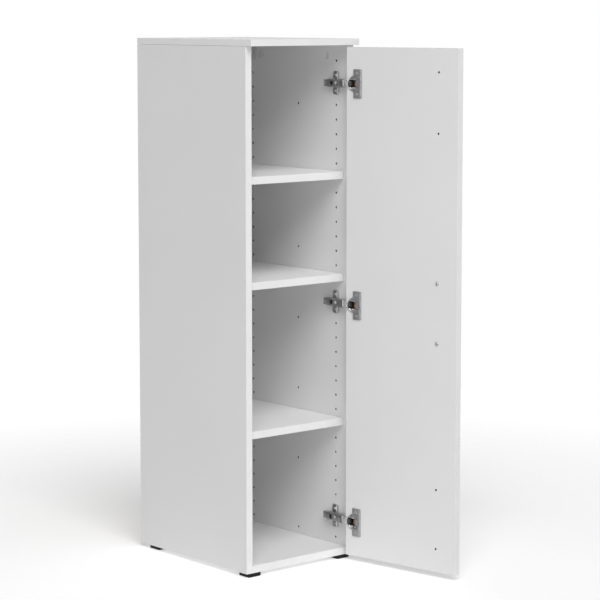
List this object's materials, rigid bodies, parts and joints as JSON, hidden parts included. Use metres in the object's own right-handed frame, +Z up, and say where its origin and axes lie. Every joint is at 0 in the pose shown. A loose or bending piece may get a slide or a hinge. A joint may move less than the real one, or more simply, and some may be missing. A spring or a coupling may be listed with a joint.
{
  "type": "locker cabinet",
  "caption": "Tall narrow white storage cabinet with one hinged door standing open, adjustable shelves on pins and concealed cup hinges.",
  "frame": {"origin": "middle of the underside of the object's box at rest, door open, on the ground", "axes": "+X to the cabinet's right, +Y to its back, +Z up"},
  "size_m": [0.3572, 0.6874, 1.145],
  "materials": {
    "white_board": "white melamine on chipboard, satin, fine pearl grain",
    "back_board": "white lacquered hardboard, matt",
    "pin_plastic": "white moulded plastic",
    "foot_plastic": "black moulded plastic",
    "white_metal": "white powder coat",
    "hinge_steel": "nickel-plated pressed steel, satin",
    "lever_steel": "bright nickel plate",
    "screw_steel": "zinc-plated steel",
    "copper": "copper-coloured plating",
    "handle_metal": "brushed aluminium"
  },
  "bodies": {
    "cabinet": {"left_side_panel": "white_board", "right_side_panel": "white_board", "top_panel": "white_board", "bottom_panel": "white_board", "back_panel": "back_board", "shelf_lower": "white_board", "pin_lower_left_front": "pin_plastic", "pin_lower_left_rear": "pin_plastic", "pin_lower_right_front": "pin_plastic", "pin_lower_right_rear": "pin_plastic", "shelf_middle": "white_board", "pin_middle_left_front": "pin_plastic", "pin_middle_left_rear": "pin_plastic", "pin_middle_right_front": "pin_plastic", "pin_middle_right_rear": "pin_plastic", "shelf_upper": "white_board", "pin_upper_left_front": "pin_plastic", "pin_upper_left_rear": "pin_plastic", "pin_upper_right_front": "pin_plastic", "pin_upper_right_rear": "pin_plastic", "foot_front_left": "foot_plastic", "cam_lock_front_left": "pin_plastic", "foot_front_right": "foot_plastic", "cam_lock_front_right": "pin_plastic", "foot_rear_left": "foot_plastic", "cam_lock_rear_left": "pin_plastic", "foot_rear_right": "foot_plastic", "cam_lock_rear_right": "pin_plastic", "wall_bracket": "white_metal", "mounting_plate_lower": "hinge_steel", "hinge_arm_lower": "hinge_steel", "arm_screw_lower": "screw_steel", "plate_screw_lower_lower": "screw_steel", "plate_screw_lower_upper": "screw_steel", "mounting_plate_middle": "hinge_steel", "hinge_arm_middle": "hinge_steel", "arm_screw_middle": "screw_steel", "plate_screw_middle_lower": "screw_steel", "plate_screw_middle_upper": "screw_steel", "mounting_plate_upper": "hinge_steel", "hinge_arm_upper": "hinge_steel", "arm_screw_upper": "screw_steel", "plate_screw_upper_lower": "screw_steel", "plate_screw_upper_upper": "screw_steel"},
    "door": {"door_panel": "white_board", "door_handle": "handle_metal", "handle_bolt_lower": "screw_steel", "handle_bolt_upper": "screw_steel", "hinge_cup_lower": "hinge_steel", "cup_roller_lower": "copper", "hinge_cup_middle": "hinge_steel", "cup_roller_middle": "copper", "hinge_cup_upper": "hinge_steel", "cup_roller_upper": "copper"},
    "outer_levers": {"outer_lever_lower": "lever_steel", "outer_lever_middle": "lever_steel", "outer_lever_upper": "lever_steel"},
    "inner_levers": {"inner_lever_lower": "lever_steel", "inner_lever_middle": "lever_steel", "inner_lever_upper": "lever_steel"}
  },
  "joints": [
    {"name": "door_swing", "type": "hinge", "parent": "cabinet", "child": "door", "pos_m": [0.10939, -0.05882, 0.5745], "axis": [0, 0, 1], "range_deg": [-100, 10]},
    {"name": "outer_lever_swing", "type": "hinge", "parent": "cabinet", "child": "outer_levers", "pos_m": [0.10939, -0.05882, 0.5745], "axis": [0, 0, 1], "range_deg": [-26.5, 3]},
    {"name": "inner_lever_swing", "type": "hinge", "parent": "cabinet", "child": "inner_levers", "pos_m": [0.10939, -0.05882, 0.5745], "axis": [0, 0, 1], "range_deg": [-80.5, 8.5]}
  ],
  "couplings": [
    {"joint": "outer_lever_swing", "follows": "door_swing", "ratio": 0.26},
    {"joint": "inner_lever_swing", "follows": "door_swing", "ratio": 0.801}
  ]
}
